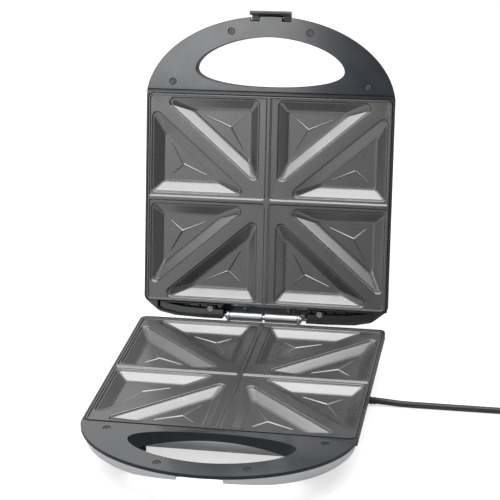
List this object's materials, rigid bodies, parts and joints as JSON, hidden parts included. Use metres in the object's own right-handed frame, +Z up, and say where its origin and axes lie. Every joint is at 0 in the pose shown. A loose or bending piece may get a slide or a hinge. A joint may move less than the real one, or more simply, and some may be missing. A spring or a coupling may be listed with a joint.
{
  "type": "sandwich toaster",
  "caption": "Clamshell sandwich toaster shown open: hinged cast plates with triangular pockets, loop handles, swinging latch and a mains cord.",
  "frame": {"origin": "on the table, under the middle of the open toaster's outline without its cord", "axes": "+Z up, +Y from the front handle to the hinge, +X to the side where the cord leaves"},
  "size_m": [0.4605, 0.3829, 0.3308],
  "materials": {
    "housing": "satin silver-grey moulding",
    "frame": "high gloss black",
    "plate": "dark grey non-stick coating",
    "heater": "dull tube",
    "reflector": "mill finish sheet",
    "dark_screw": "dark plated",
    "screw": "zinc plated",
    "foot": "matte",
    "hinge": "bright plated",
    "ceramic": "off-white",
    "nylon": "translucent white",
    "cord": "satin black sheath",
    "plug": "fine moulded black",
    "pin": "nickel plated",
    "red_lens": "clear red",
    "green_lens": "clear green",
    "lamp": "clear glass",
    "latch": "dark grey gloss"
  },
  "bodies": {
    "base": {"lower_housing": "housing", "lower_frame": "frame", "lower_plate": "plate", "lower_heater": "heater", "lower_reflector": "reflector", "lower_handle_screws": "dark_screw", "lower_plate_screws": "screw", "lower_reflector_screws": "screw", "housing_screws": "screw", "feet": "foot", "lower_hinge": "hinge", "hinge_pin": "hinge", "lower_hinge_screws": "screw", "thermostat": "ceramic", "thermal_fuse": "ceramic", "terminal_block": "nylon", "cord_bushing": "plug", "power_cord": "cord", "cord_coil": "cord", "plug_body": "plug", "plug_pins": "pin"},
    "lid": {"upper_housing": "housing", "upper_frame": "frame", "upper_plate": "plate", "upper_heater": "heater", "upper_reflector": "reflector", "upper_handle_screws": "dark_screw", "upper_plate_screws": "screw", "upper_reflector_screws": "screw", "upper_rear_screws": "screw", "upper_hinge": "hinge", "upper_hinge_screws": "screw", "power_lens": "red_lens", "ready_lens": "green_lens", "indicator_lamps": "lamp"},
    "latch": {"latch": "latch", "latch_pin": "hinge"}
  },
  "joints": [
    {"name": "lid_hinge", "type": "hinge", "parent": "base", "child": "lid", "pos_m": [0, 0.1035, 0.04], "axis": [1, 0, 0], "range_deg": [0, 105.5]},
    {"name": "latch_pivot", "type": "hinge", "parent": "lid", "child": "latch", "pos_m": [0, 0.18762, 0.31865], "axis": [1, 0, 0], "range_deg": [-45, 9]}
  ]
}
